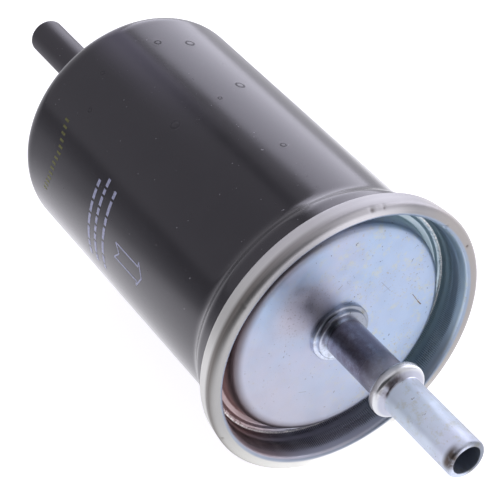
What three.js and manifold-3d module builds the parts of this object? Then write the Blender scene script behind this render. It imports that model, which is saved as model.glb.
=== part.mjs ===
// In-line fuel filter with a double-seamed steel can and two quick-connect tubes.
// Millimetres. +X is the axis and the flow direction, from the inlet tube to the
// outlet tube; +Z is up. The origin is on the axis, half-way between the two tips.
import * as THREE from 'three';
import Module from 'manifold-3d';

// ---------------------------------------------------------------- driving sizes

const OUTLET_TIP = 78.35; // outlet tube's tip; the inlet tip is at minus this
const SEAM = 42.25; // reference plane of the double seam, near the rim's front
const CAN_LENGTH = 82.5; // seam plane to the can's closed end
const CAN_RADIUS = 25.9;
const CAN_SHEET = 0.42;
const CAN_CORNER = 5; // outer radius of the drawn corner
const MOUTH_RADIUS = 27.4; // the can is swaged out here to take the cover
const SHOULDER_START = 11; // seam plane to the start of the swaged shoulder
const SHOULDER_END = 8.4;
const COVER_SHEET = 0.42;
const PANEL_DEPTH = 3; // seam plane to the cover's raised panel
const PANEL_RADIUS = 22.9;
const FLOOR_DEPTH = 7.1; // seam plane to the groove round the panel
const LEDGE_DEPTH = 6.4; // seam plane to the step at the foot of the chuck wall
const RIM_RADIUS = 29.9; // outside of the rolled rim, near its crown
const HEM_RADIUS = 29.5; // outside of the rolled rim, at its free edge
const HEM_DEPTH = 4; // seam plane to the rim's free edge
const CROWN = 0.6; // seam plane to the top of the rim
const CROWN_FILLET = 1;
const SEAM_WALL = 27.69; // middle of the can's wall inside the seam
const SEAM_PITCH = 0.52; // from the middle of one seam layer to the next
const SEAM_FILLET = 0.5; // folds inside the seam
const CAN_FOLD = 0.8; // seam plane to the can's fold inside the seam

const TUBE_RADIUS = 3.97; // 5/16 in quick-connect tube
const BORE_RADIUS = 2.9;
const BEAD_RADIUS = 5.64;
const BEAD_WIDTH = 2.6;
const BEAD_TO_TIP = 20.6;
const TIP_ROUND = 0.7;
const COLLAR_RADIUS = 6.2;
const COLLAR_HEIGHT = 1.5;
const COLLAR_STEP = 0.75; // height and depth of the collar's step
const COLLAR_LAND = 6.8; // the flat round a tube hole that the collar stands on
const BRAZE_LEG = 1.5; // legs of the braze fillet
const BRAZE_EDGE = 0.3;
const HOLE_RADIUS = 4.25; // tube holes in the can and the cover
const OUTLET_STUB = 13.5; // outlet tube inside the cover, from the panel
const INLET_STUB = 3.2; // inlet tube inside the can, from the closed end

const ELEMENT_FRONT = 10.2; // seam plane to the outlet end cap's face
const ELEMENT_BACK = 72.4; // seam plane to the inlet end cap's face
const CAP_RADIUS = 24.1;
const CAP_SHEET = 0.4;
const CAP_RIM = 4.2; // how far a cap's rim reaches over the pleats
const ADHESIVE = 2.6; // depth of adhesive in each cap
const PLEAT_COUNT = 30;
const PLEAT_OUTER = 22.5;
const PLEAT_INNER = 10;
const PAPER = 0.4;
const CORE_RADIUS = 8.9;
const CORE_SHEET = 0.5;
const GROMMET_HOLE = 7; // hole in the outlet end cap
const BAND_COUNT = 3; // retaining bands round the pleats
const BAND_WIDTH = 1.2;
const BAND_THICKNESS = 0.35;
const BAND_SLACK = 0.55; // from the pleats to a band
const CLIP_SHEET = 0.28;
const CLIP_REACH = 2.6; // how far the seam clip grips the pleat
const CLIP_OPENING = 1.7;
const CORE_HOLE = 2; // radius
const CORE_ROWS = 4;
const CORE_DRILLINGS = 2; // drillings right through, in each row
const SEAT_SHEET = 0.6; // spring seat
const SEAT_RADIUS = 14;
const SEAT_HOLE = 5;
const SEAT_RIM = 2.2;
const WIRE_RADIUS = 0.65; // support spring
const SPRING_TURNS = 2.5;
const SPRING_RADIUS = 13.8; // wire's middle at the can's closed end
const SPRING_TAPER = 1.9;
const RING_WIDTH = 5; // centring ring
const RING_BAND = 0.45;
const RING_RIBS = 6;
const RIB_HALF_ANGLE = 0.05; // radians
const RIB_CLEARANCE = 0.2;

const GAP = 0.15; // clearance drawn between pieces that touch
const ROUND = 32; // segments round the large pieces
const ROUND_SMALL = 20; // segments round the tubes and their rings
const FILLET_STEPS = 4; // steps in half a turn of a 1 mm fillet

// Places along the axis.
const PANEL = SEAM - PANEL_DEPTH;
const CAN_END = SEAM - CAN_LENGTH;
const CAP_FRONT = SEAM - ELEMENT_FRONT;
const CAP_BACK = SEAM - ELEMENT_BACK;
const PAPER_FRONT = CAP_FRONT - CAP_SHEET - ADHESIVE - 2 * GAP;
const PAPER_BACK = CAP_BACK + CAP_SHEET + ADHESIVE + 2 * GAP;
const TURN = 2 * Math.PI;

// ---------------------------------------------------------------- materials

const material = (color, metalness, roughness) =>
  new THREE.MeshStandardMaterial({ color, metalness, roughness });
const BLACK_PAINT = material(0x232226, 0.2, 0.3);
const BLACK_TUBE = material(0x2b292d, 0.2, 0.35);
const ZINC = material(0xb4bfd8, 0.9, 0.3);
const STEEL = material(0x9a9da0, 0.9, 0.4);
const TINPLATE = material(0xbcbdb8, 0.9, 0.35);
const BRAZE = material(0xb08a4a, 0.9, 0.4);
const PAPER_YELLOW = material(0xd9c48a, 0, 0.9);
const ADHESIVE_GREY = material(0x8f9a86, 0, 0.7);
const RUBBER = material(0x1d1d1f, 0, 0.8);
const SEALANT = material(0x6b6f3a, 0, 0.8);
const NYLON = material(0xe6e2d4, 0, 0.6);
const THREAD = material(0xf1ece0, 0, 0.9);

// ---------------------------------------------------------------- shapes

const parts = new THREE.Group();

function add(name, geometry, look) {
  const mesh = new THREE.Mesh(geometry, look);
  mesh.name = name;
  parts.add(mesh);
  return mesh;
}

/** Rounds the corners of a polyline of [x, r] or [x, r, fillet] points. */
function rounded(corners) {
  const at = ([x, r]) => new THREE.Vector2(x, r);
  const points = [];
  corners.forEach((corner, i) => {
    const here = at(corner);
    const fillet = corner[2] ?? 0;
    if (fillet === 0) {
      points.push(here);
      return;
    }
    const back = at(corners[i - 1]).sub(here).normalize();
    const on = at(corners[i + 1]).sub(here).normalize();
    const half = Math.acos(back.dot(on)) / 2;
    const reach = fillet / Math.tan(half);
    const centre = back.clone().add(on).normalize().multiplyScalar(fillet / Math.sin(half)).add(here);
    const from = back.multiplyScalar(reach).add(here).sub(centre);
    const to = on.multiplyScalar(reach).add(here).sub(centre);
    const sweep = Math.atan2(from.cross(to), from.dot(to));
    const steps = Math.max(1, Math.round((FILLET_STEPS * Math.sqrt(fillet) * Math.abs(sweep)) / Math.PI));
    for (let k = 0; k <= steps; k += 1) {
      points.push(from.clone().rotateAround(new THREE.Vector2(), (sweep * k) / steps).add(centre));
    }
  });
  return points;
}

/** The closed outline of a sheet of the given thickness whose middle follows a polyline. */
function sheet(middle, thickness) {
  const side = (sign) =>
    middle.map((point, i) => {
      const back = point.clone().sub(middle[Math.max(i - 1, 0)]).normalize();
      const on = middle[Math.min(i + 1, middle.length - 1)].clone().sub(point).normalize();
      const along = back.clone().add(on).normalize();
      const miter = 1 / Math.max(along.dot(i === 0 ? on : back), 0.5);
      const normal = new THREE.Vector2(-along.y, along.x);
      return normal.multiplyScalar((sign * miter * thickness) / 2).add(point);
    });
  return [...side(1), ...side(-1).reverse()];
}

/** Turns a closed outline of (x, r) points about the X axis into a solid. */
function turned(outline, segments) {
  const area = outline.reduce((sum, p, i) => sum + p.cross(outline[(i + 1) % outline.length]), 0);
  const ordered = area < 0 ? outline : [...outline].reverse();
  const profile = ordered.map((p) => new THREE.Vector2(p.y, p.x));
  profile.push(profile[0].clone());
  return new THREE.LatheGeometry(profile, segments).rotateZ(-Math.PI / 2);
}

/** The outline of a plain ring between two radii and two places on the axis. */
const ring = (inner, outer, from, to) =>
  rounded([
    [from, inner],
    [from, outer],
    [to, outer],
    [to, inner],
  ]);

/** A flat shape drawn in (y, z), made into a solid between two places on the axis. */
function extruded(shape, from, to) {
  const depth = to - from;
  const solid = new THREE.ExtrudeGeometry(shape, { depth, bevelEnabled: false, curveSegments: 1 });
  const basis = new THREE.Matrix4().makeBasis(
    new THREE.Vector3(0, 1, 0),
    new THREE.Vector3(0, 0, 1),
    new THREE.Vector3(1, 0, 0),
  );
  return solid.applyMatrix4(basis).translate(from, 0, 0);
}

const polar = (radius, angle) => new THREE.Vector2(radius * Math.cos(angle), radius * Math.sin(angle));

// ---------------------------------------------------------------- can and cover

function canShell() {
  const half = CAN_SHEET / 2;
  const wall = CAN_RADIUS - half;
  const mouth = MOUTH_RADIUS - half;
  const fold = SEAM - CAN_FOLD;
  const hook = SEAM_WALL + 2 * SEAM_PITCH;
  const middle = rounded([
    [CAN_END + half, HOLE_RADIUS],
    [CAN_END + half, COLLAR_LAND],
    [CAN_END + half, wall, CAN_CORNER - half],
    [SEAM - SHOULDER_START, wall, 3],
    [SEAM - SHOULDER_END, mouth, 2],
    [SEAM - HEM_DEPTH - 0.4, SEAM_WALL, 3],
    [fold, SEAM_WALL, SEAM_FILLET],
    [fold, hook, SEAM_FILLET],
    [fold - 2.2, hook],
  ]);
  return turned(sheet(middle, CAN_SHEET), ROUND);
}

function endCover() {
  const half = COVER_SHEET / 2;
  const panel = PANEL - half;
  const floor = SEAM - FLOOR_DEPTH;
  const ledge = SEAM - LEDGE_DEPTH;
  const top = SEAM + CROWN - half;
  const hem = SEAM - HEM_DEPTH;
  const hook = SEAM_WALL + SEAM_PITCH;
  const middle = rounded([
    [panel, HOLE_RADIUS],
    [panel, COLLAR_LAND],
    [panel, PANEL_RADIUS - half, 1.2],
    [floor, PANEL_RADIUS + 0.6, 0.55],
    [floor, PANEL_RADIUS + 2, 0.55],
    [ledge, PANEL_RADIUS + 2.4, 0.3],
    [ledge, PANEL_RADIUS + 3.2, 0.25],
    [top, RIM_RADIUS - 2.55, CROWN_FILLET],
    [top, RIM_RADIUS - half, CROWN_FILLET],
    [hem, HEM_RADIUS - half, SEAM_FILLET],
    [hem, hook, SEAM_FILLET],
    [hem + 2.4, hook],
  ]);
  return turned(sheet(middle, COVER_SHEET), ROUND);
}

/** The sealing compound under the top of the seam. */
function seamSeal() {
  const inner = SEAM_WALL + 0.36;
  const outer = SEAM_WALL + 0.91;
  const back = SEAM - CAN_FOLD + CAN_SHEET / 2 + 0.1;
  const front = SEAM + CROWN - COVER_SHEET - 0.1;
  return turned(ring(inner, outer, back, front), ROUND);
}

// ---------------------------------------------------------------- tubes

/** A beaded tube with its tip on +X; end is its inner end, all before any mirroring. */
function tube(end) {
  const bead = OUTLET_TIP - BEAD_TO_TIP;
  const half = BEAD_WIDTH / 2;
  const outline = rounded([
    [end, BORE_RADIUS],
    [end, TUBE_RADIUS],
    [bead - half, TUBE_RADIUS, 0.25],
    [bead - half + 0.2, BEAD_RADIUS, 0.6],
    [bead + half - 0.5, BEAD_RADIUS, 0.8],
    [bead + half + 0.3, TUBE_RADIUS, 0.35],
    [OUTLET_TIP, TUBE_RADIUS, TIP_ROUND],
    [OUTLET_TIP, BORE_RADIUS],
  ]);
  return turned(outline, ROUND_SMALL);
}

/** The stepped collar round a tube, standing on a face at x = seat. */
function collar(seat) {
  const foot = seat + GAP;
  const inner = TUBE_RADIUS + GAP;
  const outline = rounded([
    [foot, inner],
    [foot, COLLAR_RADIUS],
    [foot + COLLAR_STEP, COLLAR_RADIUS, 0.3],
    [foot + COLLAR_STEP, COLLAR_RADIUS - COLLAR_STEP],
    [foot + COLLAR_HEIGHT, COLLAR_RADIUS - COLLAR_STEP - 0.15, 0.35],
    [foot + COLLAR_HEIGHT, inner],
  ]);
  return turned(outline, ROUND_SMALL);
}

/** The braze fillet behind a sheet whose inner face is at x = face. */
function brazeRing(face) {
  const inner = TUBE_RADIUS + GAP;
  const front = face - GAP;
  const outline = rounded([
    [front, inner],
    [front, inner + BRAZE_LEG],
    [front - BRAZE_EDGE, inner + BRAZE_LEG],
    [front - BRAZE_LEG, inner + BRAZE_EDGE],
    [front - BRAZE_LEG, inner],
  ]);
  return turned(outline, ROUND_SMALL);
}

/** Mirrors a solid to the other end of the filter, keeping its faces outward. */
const turnedRound = (geometry) => geometry.rotateZ(Math.PI);

// ---------------------------------------------------------------- element

/** One sheet of paper folded into a closed star of pleats. */
function filterPaper() {
  const step = TURN / PLEAT_COUNT;
  const star = (inner, outer, valleyHalf, tipHalf) => {
    const points = [];
    for (let i = 0; i < PLEAT_COUNT; i += 1) {
      const tip = i * step;
      const valley = tip + step / 2;
      points.push(polar(outer, tip - tipHalf / outer), polar(outer, tip + tipHalf / outer));
      points.push(polar(inner, valley - valleyHalf / inner), polar(inner, valley + valleyHalf / inner));
    }
    return points;
  };
  const sharp = 0.3 * PAPER;
  const shape = new THREE.Shape(star(PLEAT_INNER, PLEAT_OUTER, sharp, PAPER));
  shape.holes.push(new THREE.Path(star(PLEAT_INNER - PAPER, PLEAT_OUTER - PAPER, PAPER, sharp)));
  return extruded(shape, PAPER_BACK, PAPER_FRONT);
}

/** The folded metal strip that closes the paper's seam, over the pleat on +Y. */
function seamClip() {
  const inside = CLIP_OPENING / 2;
  const outside = inside + CLIP_SHEET;
  const roof = PLEAT_OUTER + GAP;
  const outer = roof + CLIP_SHEET;
  const foot = outer - CLIP_REACH;
  const section = [
    [foot, inside],
    [roof, inside],
    [roof, -inside],
    [foot, -inside],
    [foot, -outside],
    [outer, -outside],
    [outer, outside],
    [foot, outside],
  ];
  const shape = new THREE.Shape(section.map(([y, z]) => new THREE.Vector2(y, z)));
  return extruded(shape, CAP_BACK + CAP_RIM + 1, CAP_FRONT - CAP_RIM - 1);
}

/** A thread band round the pleats, centred at x. */
function pleatBand(x) {
  const inner = PLEAT_OUTER + BAND_SLACK;
  const half = BAND_WIDTH / 2;
  return turned(ring(inner, inner + BAND_THICKNESS, x - half, x + half), ROUND);
}

const wasm = await Module();
wasm.setup();

/** A closed three.js mesh as a solid, with its shared vertices merged. */
function solidOf(geometry) {
  const keys = new Map();
  const vertices = [];
  const position = geometry.getAttribute('position');
  const source = geometry.index ? [...geometry.index.array] : [...Array(position.count).keys()];
  const merged = source.map((i) => {
    const point = [position.getX(i), position.getY(i), position.getZ(i)];
    const key = point.map((value) => Math.round(value * 1e4)).join();
    if (!keys.has(key)) {
      keys.set(key, keys.size);
      vertices.push(...point);
    }
    return keys.get(key);
  });
  const triVerts = [];
  for (let i = 0; i < merged.length; i += 3) {
    const [a, b, c] = merged.slice(i, i + 3);
    if (a !== b && b !== c && c !== a) triVerts.push(a, b, c);
  }
  return new wasm.Manifold(
    new wasm.Mesh({
      numProp: 3,
      vertProperties: new Float32Array(vertices),
      triVerts: new Uint32Array(triVerts),
    }),
  );
}

/** A solid as a three.js mesh again. */
function geometryOf(solid) {
  const mesh = solid.getMesh();
  const geometry = new THREE.BufferGeometry();
  geometry.setAttribute('position', new THREE.BufferAttribute(mesh.vertProperties, 3));
  geometry.setIndex(new THREE.BufferAttribute(mesh.triVerts, 1));
  return geometry;
}

/** The perforated tube inside the pleats, drilled right through in staggered rows. */
function coreTube() {
  const from = PAPER_BACK + GAP;
  const to = PAPER_FRONT - GAP;
  let body = solidOf(turned(ring(CORE_RADIUS - CORE_SHEET, CORE_RADIUS, from, to), ROUND_SMALL));
  for (let row = 0; row < CORE_ROWS; row += 1) {
    const x = from + ((row + 0.5) * (to - from)) / CORE_ROWS;
    for (let k = 0; k < CORE_DRILLINGS; k += 1) {
      const angle = ((k + 0.5 * (row % 2)) * Math.PI) / CORE_DRILLINGS;
      const drill = new THREE.CylinderGeometry(CORE_HOLE, CORE_HOLE, 4 * CORE_RADIUS, 8)
        .rotateX(angle)
        .translate(x, 0, 0);
      body = body.subtract(solidOf(drill));
    }
  }
  return geometryOf(body);
}

/** An end cap: a disc with a rim over the pleats; inward is +1 or -1 along X. */
function endCap(face, inward, hole) {
  const half = CAP_SHEET / 2;
  const middle = face + inward * half;
  const rim = CAP_RADIUS - half;
  const middlePath = rounded([[middle, hole], [middle, rim, 0.6], [face + inward * CAP_RIM, rim]]);
  return turned(sheet(middlePath, CAP_SHEET), ROUND);
}

/** The cast adhesive that holds the pleats in a cap; inward as for endCap. */
function adhesive(face, inward) {
  const near = face + inward * (CAP_SHEET + GAP);
  const far = near + inward * ADHESIVE;
  const outer = CAP_RADIUS - CAP_SHEET - GAP;
  const inner = GROMMET_HOLE + 2.4;
  const outline = rounded([
    [near, inner],
    [near, outer, 0.9],
    [far, outer],
    [far, inner],
  ]);
  return turned(outline, ROUND);
}

/** The rubber grommet that seals the outlet end cap to the outlet tube. */
function grommet() {
  const lip = GROMMET_HOLE + 1.2;
  const nose = lip - 1.6;
  const edge = 0.9;
  const height = 2.1;
  const front = CAP_FRONT + GAP;
  const back = CAP_FRONT - CAP_SHEET - GAP;
  const waist = GROMMET_HOLE - GAP;
  const inner = TUBE_RADIUS + GAP;
  const outline = rounded([
    [front + height, inner],
    [front + height, nose, 0.4],
    [front + edge, lip, 0.3],
    [front, lip],
    [front, waist],
    [back, waist],
    [back, lip],
    [back - edge, lip, 0.3],
    [back - height, nose, 0.4],
    [back - height, inner],
  ]);
  return turned(outline, ROUND_SMALL);
}

// ---------------------------------------------------------------- spring and centring

/** The dished washer between the spring and the inlet end cap. */
function springSeat() {
  const face = CAP_BACK - GAP;
  const disc = face - SEAT_SHEET / 2;
  const middle = rounded([
    [disc, SEAT_HOLE],
    [disc, SEAT_RADIUS - 0.4, 0.5],
    [face - SEAT_RIM, SEAT_RADIUS],
  ]);
  return turned(sheet(middle, SEAT_SHEET), ROUND_SMALL);
}

/** The conical compression spring between the can's closed end and its seat. */
function supportSpring() {
  const from = CAN_END + CAN_SHEET + GAP + WIRE_RADIUS;
  const to = CAP_BACK - SEAT_SHEET - 2 * GAP - WIRE_RADIUS;
  const route = new THREE.Curve();
  route.getPoint = (t, target = new THREE.Vector3()) => {
    const place = polar(SPRING_RADIUS - SPRING_TAPER * t, TURN * SPRING_TURNS * t);
    return target.set(from + (to - from) * t, place.x, place.y);
  };
  const sides = 6;
  const section = Array.from({ length: sides }, (_, k) => polar(WIRE_RADIUS, (TURN * k) / sides));
  return new THREE.ExtrudeGeometry(new THREE.Shape(section), {
    steps: 40,
    extrudePath: route,
    bevelEnabled: false,
  });
}

/** The plastic ring whose ribs centre the element in the can. */
function centringRing() {
  const inner = CAP_RADIUS + GAP;
  const band = inner + RING_BAND;
  const rib = CAN_RADIUS - CAN_SHEET - RIB_CLEARANCE;
  const pitch = TURN / RING_RIBS;
  const free = pitch - 2 * RIB_HALF_ANGLE;
  const steps = 6;
  const outside = [];
  for (let k = 0; k < RING_RIBS; k += 1) {
    const start = k * pitch - RIB_HALF_ANGLE;
    const end = k * pitch + RIB_HALF_ANGLE;
    outside.push(polar(band, start), polar(rib, start), polar(rib, end), polar(band, end));
    for (let j = 1; j < steps; j += 1) outside.push(polar(band, end + (free * j) / steps));
  }
  const segments = 2 * ROUND;
  const hole = Array.from({ length: segments }, (_, k) => polar(inner, (TURN * k) / segments));
  const shape = new THREE.Shape(outside);
  shape.holes.push(new THREE.Path(hole));
  return extruded(shape, CAP_BACK + 0.6, CAP_BACK + 0.6 + RING_WIDTH);
}

// ---------------------------------------------------------------- assembly

add('can_shell', canShell(), BLACK_PAINT);
add('end_cover', endCover(), ZINC);
add('seam_sealing_ring', seamSeal(), SEALANT);

add('outlet_tube', tube(PANEL - OUTLET_STUB), ZINC);
add('outlet_collar', collar(PANEL), ZINC);
add('outlet_braze_ring', brazeRing(PANEL - COVER_SHEET), BRAZE);
add('inlet_tube', turnedRound(tube(-CAN_END - INLET_STUB)), BLACK_TUBE);
add('inlet_collar', turnedRound(collar(-CAN_END)), BLACK_TUBE);
add('inlet_braze_ring', turnedRound(brazeRing(-CAN_END - CAN_SHEET)), BRAZE);

add('filter_paper', filterPaper(), PAPER_YELLOW);
add('pleat_seam_clip', seamClip(), STEEL);
for (let k = 0; k < BAND_COUNT; k += 1) {
  const x = PAPER_BACK + ((PAPER_FRONT - PAPER_BACK) * (k + 1)) / (BAND_COUNT + 1);
  add(`pleat_band_${k + 1}`, pleatBand(x), THREAD);
}
add('core_tube', coreTube(), STEEL);
add('outlet_end_cap', endCap(CAP_FRONT, -1, GROMMET_HOLE), TINPLATE);
add('inlet_end_cap', endCap(CAP_BACK, 1, 0), TINPLATE);
add('outlet_end_adhesive', adhesive(CAP_FRONT, -1), ADHESIVE_GREY);
add('inlet_end_adhesive', adhesive(CAP_BACK, 1), ADHESIVE_GREY);
add('outlet_grommet', grommet(), RUBBER);
add('spring_seat', springSeat(), STEEL);
add('support_spring', supportSpring(), STEEL);
add('centring_ring', centringRing(), NYLON);

export default parts;
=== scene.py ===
"""Looks of an in-line fuel filter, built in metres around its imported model.

+X is the filter's axis and the flow direction, +Z is up, and the filter lies on its seam.
"""

import math

import bmesh
import bpy
import numpy as np
from mathutils import Matrix, Vector


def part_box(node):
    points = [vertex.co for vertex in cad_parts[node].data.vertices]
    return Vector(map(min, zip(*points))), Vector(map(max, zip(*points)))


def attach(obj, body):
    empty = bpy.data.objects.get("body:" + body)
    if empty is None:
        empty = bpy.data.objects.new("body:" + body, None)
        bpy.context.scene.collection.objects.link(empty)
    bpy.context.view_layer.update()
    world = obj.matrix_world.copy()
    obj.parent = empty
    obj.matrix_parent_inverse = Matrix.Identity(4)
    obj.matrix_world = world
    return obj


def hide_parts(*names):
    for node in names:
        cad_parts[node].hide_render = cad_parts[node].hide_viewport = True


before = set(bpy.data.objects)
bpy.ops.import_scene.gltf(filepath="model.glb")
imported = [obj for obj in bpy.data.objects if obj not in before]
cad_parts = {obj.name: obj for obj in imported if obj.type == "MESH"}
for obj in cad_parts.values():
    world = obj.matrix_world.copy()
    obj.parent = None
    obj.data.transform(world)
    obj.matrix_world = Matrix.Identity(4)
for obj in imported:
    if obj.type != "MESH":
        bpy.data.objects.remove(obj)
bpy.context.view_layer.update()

# ---------------------------------------------------------------- sizes, in millimetres

MM = 0.001
TURN = 2 * math.pi


def low(node):
    """A CAD node's lowest corner, in millimetres."""
    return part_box(node)[0] / MM


def high(node):
    """A CAD node's highest corner, in millimetres."""
    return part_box(node)[1] / MM


SHEET = 0.42  # the can's and the cover's steel
GAP = 0.15  # the clearance that the CAD model draws between pieces that touch
CROWN = 0.6  # from the seam plane to the top of the rim
SEAM = high("end_cover").x - CROWN
RIM_RADIUS = 29.9  # outside of the rolled rim, near its crown
HEM_RADIUS = 29.5  # outside of the rolled rim, at its free edge
HEM = SEAM - 4
SEAM_WALL = 27.69  # middle of the can's wall inside the seam
SEAM_PITCH = 0.52  # from the middle of one seam layer to the next
PANEL = low("outlet_collar").x - GAP
PANEL_RADIUS = 22.9
LEDGE = SEAM - 6.4
CAN_END = low("can_shell").x
CAN_RADIUS = 25.9
CAN_CORNER = 5
MOUTH_RADIUS = 27.4
HOLE_RADIUS = 4.25
TIP = high("outlet_tube").x
TUBE_RADIUS = 3.97
BORE_RADIUS = 2.9
BEAD_RADIUS = high("outlet_tube").z
BEAD = TIP - 20.6
COLLAR_RADIUS = high("outlet_collar").z
TABLE = low("end_cover").z

CAN_SEGMENTS = 384  # round the can
TUBE_SEGMENTS = 96  # round the tubes and what sits on them
KNURLS = 400  # chuck marks round the inside of the seam
PLEATS = 30
PLEAT_OUTER = 22.5
PLEAT_INNER = 10
PAPER_SHEET = 0.4
CORE_RADIUS = high("core_tube").z
CORE_SHEET = 0.5
CORE_HOLE = 2
CORE_ROWS = 4
CAP_SHEET = 0.4
CAP_RADIUS = high("outlet_end_cap").z
GROMMET_HOLE = 7
WIRE_RADIUS = 0.65
SPRING_TURNS = 2.5
SPRING_RADIUS = 13.8
SPRING_TAPER = 1.9

# ---------------------------------------------------------------- outlines and meshes


def unit(vector):
    """The vector's direction, with a length of 1."""
    return vector / np.linalg.norm(vector)


def rounded(corners, arc_degrees=9.0):
    """A polyline of (x, r) or (x, r, fillet) points, with arcs in place of the filleted ones."""
    points = []
    for i, corner in enumerate(corners):
        here = np.array(corner[:2], float)
        fillet = corner[2] if len(corner) > 2 else 0
        if fillet == 0:
            points.append(here)
            continue
        back = unit(np.array(corners[i - 1][:2], float) - here)
        on = unit(np.array(corners[(i + 1) % len(corners)][:2], float) - here)
        half = math.acos(np.clip(back @ on, -1, 1)) / 2
        centre = here + unit(back + on) * fillet / math.sin(half)
        start = here + back * fillet / math.tan(half) - centre
        end = here + on * fillet / math.tan(half) - centre
        sweep = math.atan2(start[0] * end[1] - start[1] * end[0], start @ end)
        steps = max(2, math.ceil(abs(math.degrees(sweep)) / arc_degrees))
        for k in range(steps + 1):
            turn = sweep * k / steps
            c, s = math.cos(turn), math.sin(turn)
            points.append(centre + (start[0] * c - start[1] * s, start[0] * s + start[1] * c))
    return np.array(points)


def divided(points, longest):
    """Adds points to a polyline, so that no step is longer than that."""
    out = [points[0]]
    for here, on in zip(points, points[1:]):
        steps = max(1, math.ceil(np.linalg.norm(on - here) / longest))
        out.extend(here + (on - here) * k / steps for k in range(1, steps + 1))
    return np.array(out)


def side(middle, offset):
    """A polyline moved sideways: to its left where the offset is positive."""
    steps = [unit(b - a) for a, b in zip(middle, middle[1:])]
    out = []
    for i, point in enumerate(middle):
        back = steps[max(i - 1, 0)]
        on = steps[min(i, len(steps) - 1)]
        along = unit(back + on)
        out.append(point + np.array([-along[1], along[0]]) * offset / max(along @ on, 0.5))
    return np.array(out)


def piece(name, vertices, faces, material, slot, *nodes):
    """A smooth mesh piece in metres that stands for those CAD nodes."""
    mesh = bpy.data.meshes.new(name)
    mesh.from_pydata(vertices, [], faces)
    work = bmesh.new()
    work.from_mesh(mesh)
    bmesh.ops.remove_doubles(work, verts=work.verts, dist=1e-7)
    bmesh.ops.recalc_face_normals(work, faces=work.faces)
    work.to_mesh(mesh)
    work.free()
    mesh.shade_smooth()
    mesh.set_sharp_from_angle(angle=math.radians(48))
    mesh.materials.append(material)
    made = bpy.data.objects.new(name, mesh)
    bpy.context.scene.collection.objects.link(made)
    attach(made, "root")
    if nodes:
        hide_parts(*nodes)
    return made


def ring_faces(rows, columns, closed_rows=True):
    """Quads of a grid that closes round its columns, and round its rows if asked."""
    last = rows if closed_rows else rows - 1
    return [
        (
            i * columns + j,
            i * columns + (j + 1) % columns,
            (i + 1) % rows * columns + (j + 1) % columns,
            (i + 1) % rows * columns + j,
        )
        for i in range(last)
        for j in range(columns)
    ]


def turned(name, outline, segments, material, slot, *nodes, relief=None):
    """Turns a closed outline of (x, r) points about X; relief(x, r, t) may move the points."""
    t = np.arange(segments) * TURN / segments
    x = np.repeat(outline[:, :1], segments, 1)
    r = np.repeat(outline[:, 1:], segments, 1)
    t = np.repeat(t[None, :], len(outline), 0)
    if relief:
        x, r = relief(x, r, t)
    vertices = np.stack([x, r * np.cos(t), r * np.sin(t)], -1).reshape(-1, 3) * MM
    faces = ring_faces(len(outline), segments)
    return piece(name, vertices.tolist(), faces, material, slot, *nodes)


def steps_between(value, start, end):
    """0 below start, 1 above end, and a smooth rise between them."""
    share = np.clip((value - start) / (end - start), 0, 1)
    return share * share * (3 - 2 * share)


# ---------------------------------------------------------------- materials


class Graph:
    """A node tree built by small calls."""

    def __init__(self, tree):
        self.tree = tree

    def add(self, kind, inputs=None, **settings):
        node = self.tree.nodes.new(kind)
        for key, value in settings.items():
            setattr(node, key, value)
        for key, value in (inputs or {}).items():
            self.feed(node.inputs[key], value)
        return node

    def feed(self, socket, value):
        """Links another node's output to a socket, or sets a plain value on it."""
        if isinstance(value, bpy.types.NodeSocket):
            self.tree.links.new(value, socket)
        elif isinstance(value, tuple) and len(value) == 3 and socket.type == "RGBA":
            socket.default_value = (*value, 1)
        else:
            socket.default_value = value

    def math(self, operation, a, b=0.0):
        return self.add("ShaderNodeMath", {0: a, 1: b}, operation=operation).outputs[0]

    def times(self, first, *others):
        """The product of the numbers."""
        for other in others:
            first = self.math("MULTIPLY", first, other)
        return first

    def fade(self, value, start, end, low=0.0, high=1.0):
        """low below start, high above end, and a smooth change between them."""
        inputs = {0: value, 1: start, 2: end, 3: low, 4: high}
        return self.add("ShaderNodeMapRange", inputs, interpolation_type="SMOOTHSTEP").outputs[0]

    def band(self, value, start, end, soft):
        """1 between start and end, and 0 outside them."""
        rise = self.fade(value, start - soft, start + soft)
        return self.times(rise, self.fade(value, end - soft, end + soft, 1.0, 0.0))


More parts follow.
